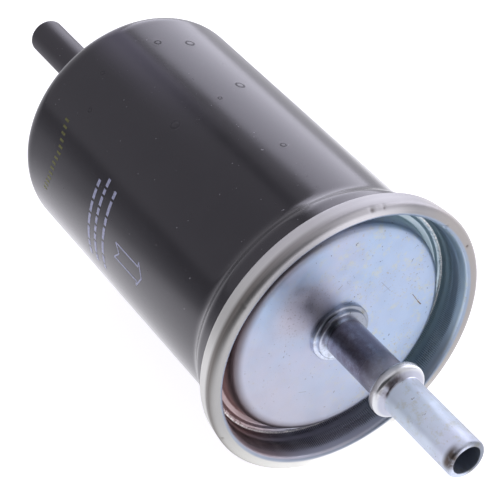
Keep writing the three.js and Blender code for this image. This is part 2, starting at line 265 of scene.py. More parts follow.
class Look(Graph):
    """A material. Its places are in the frame's own axes and in millimetres, its angles in radians."""

    def __init__(self, name):
        self.material = bpy.data.materials.new(name)
        self.material.use_nodes = True
        super().__init__(self.material.node_tree)
        self.shader = self.tree.nodes["Principled BSDF"]
        self.metres = self.add("ShaderNodeTexCoord").outputs["Object"]
        self.place = self.vector("MULTIPLY", self.metres, (1 / MM, 1 / MM, 1 / MM))
        self.x, self.y, self.z = self.add("ShaderNodeSeparateXYZ", {"Vector": self.place}).outputs
        across = self.add("ShaderNodeCombineXYZ", {"Y": self.y, "Z": self.z}).outputs[0]
        self.radius = self.vector("LENGTH", across)
        self.angle = self.math("ARCTAN2", self.z, self.y)

    def vector(self, operation, a, b=(0.0, 0.0, 0.0)):
        node = self.add("ShaderNodeVectorMath", {0: a, 1: b}, operation=operation)
        return node.outputs["Value" if operation in ("DOT_PRODUCT", "LENGTH") else "Vector"]

    def noise(self, size, detail=2.0, roughness=0.5, distortion=0.0, stretch=None, seed=0.0):
        """Noise whose features are about that many millimetres across."""
        inputs = {
            "Vector": self.vector("MULTIPLY", self.metres, stretch) if stretch else self.metres,
            "W": seed,
            "Scale": 1 / (size * MM),
            "Detail": detail,
            "Roughness": roughness,
            "Distortion": distortion,
        }
        return self.add("ShaderNodeTexNoise", inputs, noise_dimensions="4D").outputs["Fac"]

    def streaks(self, width, length, seed=0.0):
        """Noise drawn out round the axis: width along it, length round it, in millimetres."""
        along = self.times(self.x, 1 / width)
        turn = self.times(self.angle, RIM_RADIUS / length)
        outward = self.times(self.radius, 1 / width)
        place = self.add("ShaderNodeCombineXYZ", {"X": along, "Y": turn, "Z": outward}).outputs[0]
        inputs = {"Vector": place, "W": seed, "Scale": 1.0, "Detail": 3.0, "Roughness": 0.6}
        return self.add("ShaderNodeTexNoise", inputs, noise_dimensions="4D").outputs["Fac"]

    def line_mark(self, start, end, width):
        """1 on a thin line between two points."""
        start, end = Vector(start), Vector(end)
        along = end - start
        from_start = self.vector("SUBTRACT", self.place, tuple(start))
        share = self.vector("DOT_PRODUCT", from_start, tuple(along / along.length_squared))
        share = self.math("MINIMUM", self.math("MAXIMUM", share, 0.0), 1.0)
        shares = self.add("ShaderNodeCombineXYZ", {0: share, 1: share, 2: share}).outputs[0]
        step = self.vector("MULTIPLY", shares, tuple(along))
        away = self.vector("LENGTH", self.vector("SUBTRACT", from_start, step))
        return self.fade(away, width * 0.6, width * 1.2, 1.0, 0.0)

    def distance(self, x, radius, degrees):
        """How far the surface is from the point at x, radius and angle."""
        turn = math.radians(degrees)
        centre = (x, radius * math.cos(turn), radius * math.sin(turn))
        return self.vector("LENGTH", self.vector("SUBTRACT", self.place, centre))

    def mix(self, factor, a, b):
        """A colour between a and b."""
        node = self.add("ShaderNodeMix", data_type="RGBA")
        self.feed(node.inputs["Factor"], factor)
        self.feed([s for s in node.inputs if s.name == "A" and s.type == "RGBA"][0], a)
        self.feed([s for s in node.inputs if s.name == "B" and s.type == "RGBA"][0], b)
        return [s for s in node.outputs if s.type == "RGBA"][0]

    def shade(self, colour, factor):
        """The colour made lighter or darker by that factor."""
        factors = self.add("ShaderNodeCombineXYZ", {0: factor, 1: factor, 2: factor}).outputs[0]
        return self.vector("MULTIPLY", colour, factors)

    def blend(self, factor, a, b):
        """A number between a and b."""
        return self.add("ShaderNodeMix", {"Factor": factor, "A": a, "B": b}, data_type="FLOAT").outputs[0]

    def bump(self, height, distance):
        """Raises the surface by up to that many millimetres where height is 1."""
        inputs = {"Height": height, "Distance": distance * MM, "Strength": 1.0}
        if self.shader.inputs["Normal"].is_linked:
            inputs["Normal"] = self.shader.inputs["Normal"].links[0].from_socket
        self.feed(self.shader.inputs["Normal"], self.add("ShaderNodeBump", inputs).outputs[0])

    def finish(self, **values):
        """Feeds the shader's inputs, named as base_color is for Base Color."""
        for key, value in values.items():
            self.feed(self.shader.inputs[key.replace("_", " ").title().replace("Ior", "IOR")], value)
        return self.material


# Ring marks in the paint: x from the seam plane, angle in degrees, radius and height.
RING_MARKS = [
    (-45.9, 110.9, 1.2, 0.12),
    (-67.6, 74.5, 1.1, 0.10),
    (-50.0, 72.4, 1.1, 0.10),
    (-70.0, 88.0, 0.8, 0.07),
    (-28.0, 82.0, 0.7, 0.07),
    (-65.2, 132.3, 0.6, 0.06),
    (-70.0, 117.0, 0.6, 0.06),
    (-46.9, 87.0, 0.5, 0.06),
]


def black_paint(name, rough, dark, pale):
    """Satin black stoved paint: orange peel, dust, ring marks, and a painted bluish reflection towards
    the closed end.
    """
    look = Look(name)
    dust = look.fade(look.noise(0.45, 0, seed=3.0), 0.83, 0.88)
    patch = look.noise(14, 3, 0.6, seed=5.0)
    # Painted reflection: the paint made lighter and bluish towards the closed end, on the can only.
    painted_sheen = look.times(
        look.fade(look.angle, 1.62, 1.71),
        look.fade(look.angle, 1.73, 2.04, 1.0, 0.0),
        look.fade(look.x, SEAM - 78, SEAM - 34, 1.0, 0.0),
        look.fade(look.radius, 14, 20),
    )
    colour = look.mix(look.fade(patch, 0.35, 0.7), dark, pale)
    colour = look.mix(look.times(dust, 0.6), colour, (0.30, 0.30, 0.33))
    colour = look.mix(painted_sheen, colour, (0.085, 0.080, 0.108))
    look.bump(look.noise(0.9, 2), 0.003)
    look.bump(dust, 0.02)
    dull = look.fade(look.noise(0.7, 1, seed=17.0), 0.74, 0.80, 0.0, 0.6)
    for along, degrees, radius, height in RING_MARKS:
        away = look.distance(SEAM + along, CAN_RADIUS, degrees)
        groove = look.band(away, 0.55 * radius, 0.95 * radius, 0.2 * radius)
        look.bump(look.math("SUBTRACT", 1.0, groove), 0.25 * height)
        dull = look.math("MAXIMUM", dull, groove)
    spread = look.blend(dull, look.fade(patch, 0.3, 0.7, rough, rough + 0.04), 0.6)
    return look.finish(base_color=colour, roughness=spread, ior=1.52, specular_tint=(0.96, 0.93, 1.0))


def zinc(name, pale, pink, warmth, rough):
    """Passivated zinc, clouded pink and yellow, with specks: the look, its colour and roughness."""
    look = Look(name)
    cloud = look.times(
        look.fade(look.noise(9, 4, 0.6), 0.3, 0.7), look.fade(look.y, -4, 12, 1.0, 0.3)
    )
    yellow = look.times(
        look.fade(look.noise(2.0, 5, 0.75, seed=7.0), 0.50, 0.66),
        look.fade(look.y, -12, 8, 0.25 * warmth, warmth),
    )
    ochre = look.fade(look.noise(1.4, 3, 0.7, seed=19.0), 0.62, 0.74, 0.0, 0.5)
    speck = look.fade(look.noise(0.6, 2, 0.6, seed=11.0), 0.67, 0.73, 0.0, 0.7)
    colour = look.mix(cloud, pale, pink)
    colour = look.mix(yellow, colour, (0.58, 0.58, 0.44))
    colour = look.mix(ochre, colour, (0.45, 0.36, 0.22))
    colour = look.mix(speck, colour, (0.10, 0.07, 0.05))
    look.bump(look.noise(0.35, 3, 0.6), 0.006)
    spread = look.fade(look.noise(3, 3, seed=2.0), 0.3, 0.7, rough, rough + 0.1)
    return look, colour, spread


# Scratches on the cover's panel: the (y, z) of both ends, the width and the strength.
SCRATCHES = [
    ((16.8, 1.2), (18.7, -2.0), 0.08, 0.9),
    ((18.2, -1.2), (18.9, -2.2), 0.13, 0.9),
    ((9.3, 7.6), (11.4, 4.6), 0.06, 0.45),
    ((9.9, 4.9), (11.5, 5.6), 0.05, 0.4),
    ((0.4, 10.9), (-0.4, 10.3), 0.09, 0.5),
    ((-7.0, -12.0), (-8.6, -11.4), 0.07, 0.4),
]


def panel_marks(look, colour):
    """The panel: ochre flecks, a pink lower side, a brownish painted reflection of the tube above the
    collar with dark specks in it, and scratches.
    """
    flecks = look.times(
        look.fade(look.noise(0.45, 2, 0.6, seed=37.0), 0.60, 0.68),
        look.fade(look.noise(7, 2, seed=41.0), 0.45, 0.6),
        look.fade(look.y, -4, 12, 0.15, 0.8),
    )
    colour = look.mix(flecks, colour, (0.42, 0.35, 0.20))
    lower_side = look.fade(look.math("ADD", look.y, look.z), -32, 4, 0.6, 0.0)
    colour = look.mix(lower_side, colour, (0.56, 0.53, 0.57))
    # Painted reflection: the tube's dark reflection in the panel, painted brownish above the collar; the
    # dark specks within it are marks on the metal.
    tube_reflection = look.fade(look.distance(PANEL, 11.5, 135), 3, 9, 0.75, 0.0)
    colour = look.mix(tube_reflection, colour, (0.51, 0.48, 0.535))
    specks = look.fade(look.noise(0.35, 2, 0.6, seed=47.0), 0.58, 0.66, 0.0, 0.5)
    colour = look.mix(look.times(specks, tube_reflection), colour, (0.16, 0.12, 0.10))
    for start, end, width, strength in SCRATCHES:
        mark = look.line_mark((PANEL, *start), (PANEL, *end), width)
        colour = look.mix(look.times(mark, strength), colour, (0.20, 0.14, 0.09))
    return colour


# Nicks in the rim: angle in degrees, radius, width and depth.
NICKS = [
    (41.6, 27.5, 0.55, 0.35),
    (82.6, 29.5, 0.8, 0.12),
    (77.5, 29.4, 0.5, 0.10),
    (23.7, 28.4, 0.5, 0.14),
    (140.0, 29.7, 0.5, 0.15),
    (201.0, 29.5, 0.6, 0.15),
]


def rim_wear_and_light(look, streak):
    """The rolled rim: neutral, with wear, rusty streaks and nicks; paler below as a painted reflection,
    its flank and crown painted lighter or darker by side, the crown partly burnished, and a dark shoulder
    band that is partly a brown stain and partly a painted dark reflection.
    """
    wear_and_light = look.mix(look.fade(streak, 0.2, 0.8), (0.38, 0.375, 0.39), (0.42, 0.415, 0.415))
    # Painted reflection: the rim paler towards its lower part.
    wear_and_light = look.mix(look.fade(look.z, -20, -4, 0.8, 0.0), wear_and_light, (0.79, 0.79, 0.74))
    wear_and_light = look.mix(look.fade(look.y, -26, -12, 0.5, 0.0), wear_and_light, (0.40, 0.405, 0.37))
    # Painted light: the flank lighter on the -Y side and darker on the +Y side; the crown brighter,
    # partly burnish and partly a painted highlight.
    flank_painted_light = look.math(
        "SUBTRACT", look.fade(look.y, -12, 4, 1.4, 0.8), look.fade(look.y, 16, 28, 0.0, 0.2)
    )
    crown_burnish_and_highlight = look.math("ADD", look.times(look.band(look.y, -6, 8, 6), 0.6), 1.2)
    crown_burnish_and_highlight = look.times(crown_burnish_and_highlight, look.fade(look.y, 9, 14, 1.0, 0.78))
    on_crown = look.fade(look.x, SEAM - 0.6, SEAM + 0.3)
    wear_and_light = look.shade(wear_and_light, look.blend(on_crown, flank_painted_light, crown_burnish_and_highlight))
    rust = look.fade(look.streaks(0.16, 3, seed=6.0), 0.68, 0.78, 0.0, 0.6)
    wear_and_light = look.mix(rust, wear_and_light, (0.20, 0.13, 0.09))
    wear_and_light = look.mix(look.fade(look.y, 14, 22, 0.0, 0.8), wear_and_light, (0.43, 0.405, 0.38))
    for degrees, radius, width, _ in NICKS:
        away = look.distance(SEAM + 0.5, radius, degrees)
        wear_and_light = look.mix(look.fade(away, 0.3 * width, 0.9 * width, 0.65, 0.0), wear_and_light, (0.09, 0.07, 0.06))
    # A dark band on the shoulder, strongest on the -Y side: partly a brown stain and partly a painted
    # dark reflection.
    shoulder_stain_and_reflection = look.times(
        look.band(look.x, SEAM - 1.5, SEAM + 0.1, 0.6),
        look.fade(look.y, -24, 4, 0.8, 0.1),
        look.fade(streak, 0.2, 0.6, 0.8, 1.0),
    )
    return look.mix(shoulder_stain_and_reflection, wear_and_light, (0.08, 0.065, 0.055))


def chuck_wall(look, colour):
    """Inside the rim: painted shade at the panel's edge, the wall tinted brown to teal partly as painted
    reflection, knurl grooves darkened as painted shade, and a pale ledge partly painted as a highlight.
    """
    # Painted shade: the panel's outer edge darkened, most on the -Y side.
    edge = look.times(
        look.fade(look.radius, 20.6, 22.7),
        look.fade(look.radius, 23.3, 23.6, 1.0, 0.0),
        look.fade(look.y, -12, 8, 0.85, 0.15),
    )
    colour = look.mix(edge, colour, (0.13, 0.10, 0.10))

    # The wall's brown to teal tint by side: partly the zinc's colour and partly a painted reflection.
    wall_tint_and_reflection = look.mix(look.fade(look.y, -20, -8, 1.0, 0.0), (0.48, 0.48, 0.54), (0.58, 0.43, 0.41))
    wall_tint_and_reflection = look.mix(look.fade(look.y, 4, 18), wall_tint_and_reflection, (0.50, 0.60, 0.63))
    colour = look.mix(look.times(look.band(look.radius, 23.3, 27.2, 0.2), 0.85), colour, wall_tint_and_reflection)

    # Painted shade: the knurl grooves darkened along the tooth wave, in two bands.
    upper_band = look.band(look.x, SEAM - 4.1, SEAM - 1.3, 0.3)
    lower_band = look.band(look.x, SEAM - 6.1, SEAM - 5.1, 0.2)
    tooth = look.math("SINE", look.times(look.angle, float(KNURLS)))
    marks = look.times(
        look.math("MAXIMUM", upper_band, lower_band),
        look.fade(tooth, -0.3, 0.5),
        look.band(look.radius, 25.9, 27.3, 0.1),
        look.fade(look.noise(4, 2, seed=13.0), 0.3, 0.6, 0.3, 0.6),
    )
    colour = look.mix(marks, colour, (0.05, 0.06, 0.07))

    # A pale crumbly line on the ledge, partly painted as a highlight.
    ledge = look.times(
        look.band(look.x, LEDGE - 0.2, LEDGE + 0.4, 0.05),
        look.band(look.radius, 25.6, 26.05, 0.05),
        look.fade(look.noise(0.25, 2, 0.7, seed=4.0), 0.35, 0.6, 0.2, 1.0),
    )
    return look.mix(ledge, colour, (0.95, 0.93, 0.9))


def cover_zinc():
    """The cover: a clouded panel, a chuck wall tinted partly as painted reflection, a lip painted with a
    bluish reflection, and a rim with wear and painted light.
    """
    cyan, lilac = (0.415, 0.53, 0.70), (0.49, 0.52, 0.65)
    look, colour, rough = zinc("zinc_cover", cyan, lilac, 0.55, 0.33)
    colour = panel_marks(look, colour)
    # Painted reflection: the lip's bluish band.
    lip = look.fade(look.radius, 27.25, 27.4, 0.0, 0.7)
    colour = look.mix(lip, colour, (0.30, 0.36, 0.44))
    streak = look.streaks(0.25, 9)
    rim = look.fade(look.radius, 27.6, 28.0)
    colour = look.mix(rim, colour, rim_wear_and_light(look, streak))
    colour = chuck_wall(look, colour)
    look.bump(streak, 0.01)
    return look.finish(base_color=colour, metallic=1.0, roughness=look.blend(rim, rough, 0.47))


def tube_stains(look, colour, on_foot):
    """Soot on the collar, smut at the tip and a dark patch on the upper -Y side in front of the bead."""
    soot = look.times(
        on_foot,
        look.fade(look.noise(1.2, 4, 0.7, seed=43.0), 0.40, 0.7, 0.0, 0.4),
        look.fade(look.y, -2, 3, 1.0, 0.2),
    )
    colour = look.mix(soot, colour, (0.12, 0.10, 0.10))
    smut = look.times(
        look.fade(look.x, TIP - 2.4, TIP - 1.0),
        look.fade(look.noise(2.8, 4, 0.7, seed=23.0), 0.15, 0.5),
        look.fade(look.y, -3.0, -0.8, 1.0, 0.08),
        look.fade(look.z, -1.2, 0.8, 0.1, 1.0),
    )
    colour = look.mix(smut, colour, (0.12, 0.10, 0.09))
    # A dark patch in front of the bead, on its upper -Y side.
    dark_patch = look.times(
        look.fade(look.noise(1.8, 2, 0.6, seed=31.0), 0.30, 0.62),
        look.band(look.x, BEAD + 0.9, BEAD + 2, 0.3),
        look.fade(look.y, -1, 1, 0.8, 0.0),
        look.fade(look.z, 0.0, 2.5),
    )
    return look.mix(dark_patch, colour, (0.10, 0.07, 0.06))


def tube_zinc():
    """The outlet tube and its collar: pale in front of the bead, darker and glossier behind it, with
    painted shade on the tube's sides, painted light and shade on the collar, and a painted highlight on
    the bead's crest.
    """
    look, colour, rough = zinc("zinc_tube", (0.76, 0.87, 0.99), (0.79, 0.84, 0.99), 0.7, 0.40)
    # Painted shade: the tube darker towards +Y and, in front of the bead, at its -Y edge.
    colour = look.shade(colour, look.fade(look.y, -1.0, 1.6, 1.0, 0.42))
    on_front = look.fade(look.x, BEAD + 1.4, BEAD + 2)
    colour = look.shade(colour, look.blend(on_front, 1.0, look.fade(look.y, -3.9, -3.0, 0.75, 1.0)))

    # The bead's flanks darker, and a painted highlight on its crest.
    on_bead = look.band(look.x, BEAD - 1.3, BEAD + 1.9, 0.1)
    crest_highlight = look.fade(look.radius, 4.7, 5.4)
    colour = look.mix(on_bead, colour, look.mix(crest_highlight, (0.52, 0.54, 0.62), (0.74, 0.76, 0.77)))

    darkened = look.times(
        look.band(look.x, PANEL + 2, BEAD - 1.4, 0.2),
        look.fade(look.noise(1.5, 5, 0.75, seed=29.0), 0.35, 0.6, 0.72, 1.0),
        look.fade(look.x, BEAD - 10, BEAD - 2, 1.0, 0.7),
    )
    colour = look.mix(darkened, colour, (0.29, 0.27, 0.33))

    on_foot = look.fade(look.x, PANEL + 1.9, PANEL + 2.4, 1.0, 0.0)
    # Painted light and shade on the collar: lighter towards +Y, and its upper -Y side darkened.
    colour = look.shade(colour, look.blend(on_foot, 1.0, look.fade(look.y, -3, 2, 0.9, 1.05)))
    collar_shade = look.times(on_foot, look.fade(look.y, -3, 1, 1.0, 0.0), look.fade(look.z, 0, 3))
    colour = look.shade(colour, look.fade(collar_shade, 0, 1, 1.0, 0.4))
    colour = tube_stains(look, colour, on_foot)

    front_rough = look.blend(on_bead, rough, 0.30)
    back_rough = look.blend(on_foot, 0.25, 0.29)
    rough = look.blend(look.fade(look.x, BEAD - 8, BEAD - 1.5), back_rough, front_rough)
    return look.finish(base_color=colour, metallic=1.0, roughness=rough)


def metal(name, pale, dark, rough, size=6):
    """Bare or plated metal, with faint clouds, drawing lines and small stains."""
    look = Look(name)
    cloud = look.fade(look.noise(size, 4, 0.6), 0.3, 0.7)
    lines = look.streaks(0.2, 12)
    stain = look.fade(look.noise(1.5, 3, 0.7, seed=9.0), 0.66, 0.78, 0.0, 0.35)
    colour = look.mix(cloud, pale, dark)
    colour = look.mix(stain, colour, (0.16, 0.12, 0.09))
    look.bump(lines, 0.01)
    spread = look.fade(lines, 0.3, 0.7, rough, rough + 0.12)
    return look.finish(base_color=colour, metallic=1.0, roughness=spread)


def moulded(name, pale, dark, rough, size=4, grain=0.4, height=0.01):
    """A soft or cast material, clouded, with a fine uneven skin."""
    look = Look(name)
    cloud = look.fade(look.noise(size, 4, 0.6), 0.3, 0.7)
    skin = look.noise(grain, 3, 0.65, seed=2.0)
    look.bump(skin, height)
    spread = look.fade(skin, 0.3, 0.7, rough, min(rough + 0.15, 1.0))
    return look.finish(base_color=look.mix(cloud, pale, dark), roughness=spread)


def paper_look():
    """Resin-treated filter paper, with fibres drawn out along the filter."""
    look = Look("paper")
    fibres = look.noise(0.25, 4, 0.7, distortion=1.5, stretch=(0.35, 1, 1))
    cloud = look.fade(look.noise(5, 3, 0.6, seed=3.0), 0.3, 0.7)
    colour = look.mix(cloud, (0.78, 0.63, 0.35), (0.84, 0.71, 0.44))
    colour = look.mix(look.fade(fibres, 0.55, 0.75, 0.0, 0.5), colour, (0.62, 0.47, 0.24))
    look.bump(fibres, 0.03)
    return look.finish(base_color=colour, roughness=0.9)


def thread_look():
    """Wound thread: twisted strands, a little dirty."""
    look = Look("thread")
    twist = look.noise(0.12, 2, 0.6, stretch=(3, 1, 1))
    soil = look.fade(look.noise(3, 3, 0.6, seed=5.0), 0.45, 0.8, 0.0, 0.4)
    look.bump(twist, 0.02)
    colour = look.mix(look.fade(twist, 0.3, 0.7), (0.72, 0.67, 0.56), (0.88, 0.84, 0.75))
    return look.finish(base_color=look.mix(soil, colour, (0.5, 0.42, 0.28)), roughness=0.85)


def ink(name, colour, faint):
    """Screen-printed ink, a little uneven."""
    look = Look(name)
    thin = look.fade(look.noise(0.35, 3, 0.7), 0.35, 0.6)
    look.bump(thin, 0.01)
    return look.finish(base_color=look.mix(thin, faint, colour), roughness=0.5)


# ---------------------------------------------------------------- can and cover


def can():
    """The can, from the hole in its closed end to the hook in the seam; finer on the outside."""
    half = SHEET / 2
    wall = CAN_RADIUS - half
    mouth = MOUTH_RADIUS - half
    fold = SEAM - 0.8
    hook = SEAM_WALL + 2 * SEAM_PITCH
    corners = [
        (CAN_END + half, HOLE_RADIUS),
        (CAN_END + half, wall, CAN_CORNER - half),
        (SEAM - 11, wall, 5),
        (SEAM - 8.4, mouth, 4),
        (HEM - 0.4, SEAM_WALL, 3),
        (fold, SEAM_WALL, 0.5),
        (fold, hook, 0.5),
        (fold - 2.2, hook),
    ]
    middle = rounded(corners, 6)
    outside = side(divided(middle, 0.7), half)
    inside = side(middle, -half)[::-1]
    outline = np.vstack([outside, inside])
    turned("can", outline, CAN_SEGMENTS, PAINT, "can_paint", "can_shell", relief=paint_relief)


def paint_relief(x, r, t):
    """Slight waves and the ring marks, on the outside of the can."""
    rise = 0.012 * np.sin(x / 7 + 2 * np.sin(3 * t)) * np.sin(5 * t + x / 11)
    for along, degrees, radius, height in RING_MARKS:
        turn = np.angle(np.exp(1j * (t - math.radians(degrees))))
        share = ((x - SEAM - along) ** 2 + (turn * CAN_RADIUS) ** 2) / radius**2
        rise = rise + height / 2 * share * np.maximum(0, 1 - share) ** 2 * 6.75
    return x, r + rise * (r > CAN_RADIUS - SHEET / 2)


def rough_edge(segments, seed, longest):
    """A seeded uneven line round a ring, from 0 to 1, with chips up to that many segments."""
    values = np.random.default_rng(seed).random(segments)
    smooth = sum(np.roll(values, k) for k in range(longest)) / longest
    return (smooth - smooth.min()) / (smooth.max() - smooth.min())


def end_cover():
    """The cover, from its hole to its hook; finer on the side that shows, with knurls and nicks."""
    half = SHEET / 2
    floor = SEAM - 7.1
    top = SEAM + CROWN - half
    hook = SEAM_WALL + SEAM_PITCH
    corners = [
        (PANEL - half, HOLE_RADIUS),
        (PANEL - half, PANEL_RADIUS - half, 1.2),
        (floor, PANEL_RADIUS + 0.6, 0.55),
        (floor, PANEL_RADIUS + 2, 0.55),
        (LEDGE, PANEL_RADIUS + 2.4, 0.3),
        (LEDGE, PANEL_RADIUS + 3.2, 0.25),
        (top, RIM_RADIUS - 2.55, 1),
        (top, RIM_RADIUS - half, 1),
        (HEM, HEM_RADIUS - half, 0.5),
        (HEM, hook, 0.5),
        (HEM + 2.4, hook),
    ]
    hidden = side(rounded(corners, 45), half)
    curve = rounded(corners, 12)
    curve = np.vstack([curve[:1], divided(curve[1:], 0.9)])
    shown = side(curve, -half)[::-1]
    outline = np.vstack([hidden, shown])
    shown_rows = np.arange(len(outline)) >= len(hidden)
    segments = 2 * KNURLS
    chips = rough_edge(segments, 4, 2)

    def relief(x, r, t):
        a = x - SEAM
        seen = shown_rows[:, None]
        on_wall = seen & (r < RIM_RADIUS - 1.9) & (r > PANEL_RADIUS + 2.9)
        upper = steps_between(a, -4.3, -3.7) * (1 - steps_between(a, -1.6, -0.9))
        lower = steps_between(a, -6.3, -6.0) * (1 - steps_between(a, -5.4, -5.0))
        tooth = np.cos(KNURLS * t)
        r = r + on_wall * tooth * (0.07 * upper + 0.12 * lower)
        on_ledge = seen & (abs(r - PANEL_RADIUS - 2.8) < 0.35) & (a > -6.6) & (a < -5.9)
        x = x + on_ledge * (chips - 0.3) * 0.25
        for degrees, radius, width, depth in NICKS:
            turn = np.angle(np.exp(1j * (t - math.radians(degrees)))) * radius
            share = (turn**2 + (r - radius) ** 2) / width**2
            x = x - (seen & (a > -1)) * depth * np.maximum(0, 1 - share)
        return x, r

    turned("cover", outline, segments, ZINC, "zinc_plate", "end_cover", relief=relief)


# ---------------------------------------------------------------- tubes


def tube_outline(end):
    """A beaded tube with its tip on +X; end is its inner end."""
    corners = [
        (end, BORE_RADIUS),
        (end, TUBE_RADIUS),
        (BEAD - 1.3, TUBE_RADIUS, 0.25),
        (BEAD - 1.1, BEAD_RADIUS, 0.6),
        (BEAD + 0.8, BEAD_RADIUS, 0.8),
        (BEAD + 1.6, TUBE_RADIUS, 0.35),
        (TIP, TUBE_RADIUS, 0.7),
        (TIP, BORE_RADIUS, 0.2),
        (TIP - 1, BORE_RADIUS),
    ]
    return divided(rounded(corners), 1.5)


def collar_outline(seat):
    """The stepped collar round a tube, standing on a face at x = seat."""
    corners = [
        (seat, TUBE_RADIUS),
        (seat, COLLAR_RADIUS),
        (seat + 0.9, COLLAR_RADIUS, 0.3),
        (seat + 0.9, COLLAR_RADIUS - 0.75),
        (seat + 1.65, COLLAR_RADIUS - 0.9, 0.35),
        (seat + 1.65, TUBE_RADIUS),
    ]
    return rounded(corners)


def turned_round(outline):
    """The same outline at the other end of the filter."""
    return outline * (-1, 1)


def tubes():
    """Both beaded tubes and their collars; the inlet's are the outlet's turned round."""
    inside = low("outlet_tube").x
    outline = tube_outline(inside)
    turned("outlet_tube_fine", outline, TUBE_SEGMENTS, ZINC_TUBE, "tube_zinc", "outlet_tube")
    outline = collar_outline(PANEL)
    turned("outlet_collar_fine", outline, TUBE_SEGMENTS, ZINC_TUBE, "tube_zinc", "outlet_collar")
    inside = -high("inlet_tube").x
    outline = turned_round(tube_outline(inside))
    turned("inlet_tube_fine", outline, TUBE_SEGMENTS, PAINT_TUBE, "tube_paint", "inlet_tube")
    outline = turned_round(collar_outline(-CAN_END))
    turned("inlet_collar_fine", outline, TUBE_SEGMENTS, PAINT_TUBE, "tube_paint", "inlet_collar")


# ---------------------------------------------------------------- print on the can

INK_HEIGHT = 0.03
INK_ROOT = -0.02  # the ink's lower side is a little under the can's surface


def printed(name, outlines, material):
    """Closed flat outlines of (along, round) points, in millimetres, laid on the can as ink."""
    vertices, faces = [], []
    for left, right in outlines:
        first = len(vertices)
        count = len(left)
        for height in (INK_ROOT, INK_HEIGHT):
            for along, around in (*left, *right):
                t = around / CAN_RADIUS
                r = CAN_RADIUS + height
                vertices.append((along * MM, r * math.cos(t) * MM, r * math.sin(t) * MM))
        for k in range(count - 1):
            a, b = first + k, first + count + k
            up = 2 * count
            faces.append((a, a + 1, b + 1, b))
            faces.append((a + up, b + up, b + up + 1, a + up + 1))
            faces.append((a, a + up, a + up + 1, a + 1))
            faces.append((b, b + 1, b + 1 + up, b + up))
        for k in (0, count - 1):
            a, b = first + k, first + count + k
            faces.append((a, b, b + 2 * count, a + 2 * count))
    piece(name, vertices, faces, material, None)


def stroke(points, width):
    """The two sides of a line of that width along (along, round) points."""
    line = divided(np.array(points, float), 0.4)
    return side(line, width / 2), side(line, -width / 2)


def arrow():
    """The flow arrow, in outline, pointing to the outlet."""
    middle = math.radians(171.8) * CAN_RADIUS
    tail, head, tip = SEAM - 41.8, SEAM - 33.2, SEAM - 31.5
    shaft, barb, notch = 1.65, 2.7, 1.7
    corners = [
        (tail, -shaft),
        (tail + notch, 0),
        (tail, shaft),
        (head, shaft),
        (head, barb),
        (tip, 0),
        (head, -barb),
        (head, -shaft),
    ]
    corners = [(along, middle + around) for along, around in corners]
    width = 0.3
    lines = [stroke([a, b], width) for a, b in zip(corners, corners[1:] + corners[:1])]
    printed("flow_arrow", lines, INK)


def bars():
    """Three plain rows of dashes, in place of the printed words."""
    dashes = np.random.default_rng(8)
    rows = [(-46.5, 149.5, 190), (-49.6, 147.3, 190), (-52.2, 151, 190)]
    lines = []
    for along, start, end in rows:
        place = math.radians(start) * CAN_RADIUS
        last = math.radians(end) * CAN_RADIUS
        while place < last:
            length = min(dashes.uniform(0.9, 3.2), last - place)
            x = SEAM + along
            lines.append(stroke([(x, place), (x, place + max(length, 0.5))], 0.8))
            place += length + 0.55
    printed("plain_bars", lines, INK)


def dots():
    """A plain dotted row, in place of the stamped number."""
    corners = [(-69.2, 143), (-67.2, 156), (-68.8, 171), (-71.2, 182)]
    route = [(SEAM + a, math.radians(t) * CAN_RADIUS) for a, t in corners]
    line = divided(np.array(route), 0.7)
    printed("plain_dots", [stroke([p - (0.7, 0), p + (0.7, 0)], 0.5) for p in line[::2]], INK_DOTS)


# ---------------------------------------------------------------- inside the can


def ring(inner, outer, start, end):
    """The outline of a plain ring."""
    return rounded([(start, inner), (start, outer), (end, outer), (end, inner)])


def seal():
    """The sealing compound under the top of the seam, a little uneven."""
    outline = rounded(
        [
            (low("seam_sealing_ring").x, SEAM_WALL + 0.36),
            (low("seam_sealing_ring").x, SEAM_WALL + 0.91, 0.08),
            (high("seam_sealing_ring").x, SEAM_WALL + 0.91, 0.08),
            (high("seam_sealing_ring").x, SEAM_WALL + 0.36),
        ]
    )

    def relief(x, r, t):
        return x, r + 0.02 * np.sin(37 * t) * np.sin(11 * t)

    turned("sealing_ring", outline, 256, SEALANT, "sealant", "seam_sealing_ring", relief=relief)


def braze_outline(front):
    """A hollow fillet of braze against a sheet at x = front, on the inside of it."""
    inner = TUBE_RADIUS + GAP
    leg = 1.5
    curve = []
    for k in range(9):
        angle = math.pi / 2 * k / 8
        x = front - leg + leg * math.sin(angle) * 0.8
        curve.append((x, inner + leg - leg * math.cos(angle) * 0.8))
    return np.array([(front, inner), (front, inner + leg), *curve[::-1], (front - leg, inner)])


def braze_rings():
    """The braze fillets behind the cover and inside the closed end, slightly rippled."""

    def relief(x, r, t):
        return x, r + 0.05 * np.sin(5 * t + 1) * (r > TUBE_RADIUS + 2 * GAP)

    outline = braze_outline(high("outlet_braze_ring").x)
    turned("outlet_braze", outline, TUBE_SEGMENTS, BRAZE, "braze", "outlet_braze_ring", relief=relief)
    outline = turned_round(braze_outline(-low("inlet_braze_ring").x))
    turned("inlet_braze", outline, TUBE_SEGMENTS, BRAZE, "braze", "inlet_braze_ring", relief=relief)


def swept(name, section, places, material, slot, *nodes):
    """A flat (y, z) outline carried along X through those places, and closed at both ends."""
    rows = [np.column_stack([np.full(len(section), x), section]) for x in places]
    vertices = np.vstack(rows) * MM
    count = len(section)
    faces = ring_faces(len(places), count, closed_rows=False)
    ends = [tuple(range(count))[::-1], tuple(range(len(vertices) - count, len(vertices)))]
    piece(name, vertices.tolist(), faces + ends, material, slot, *nodes)


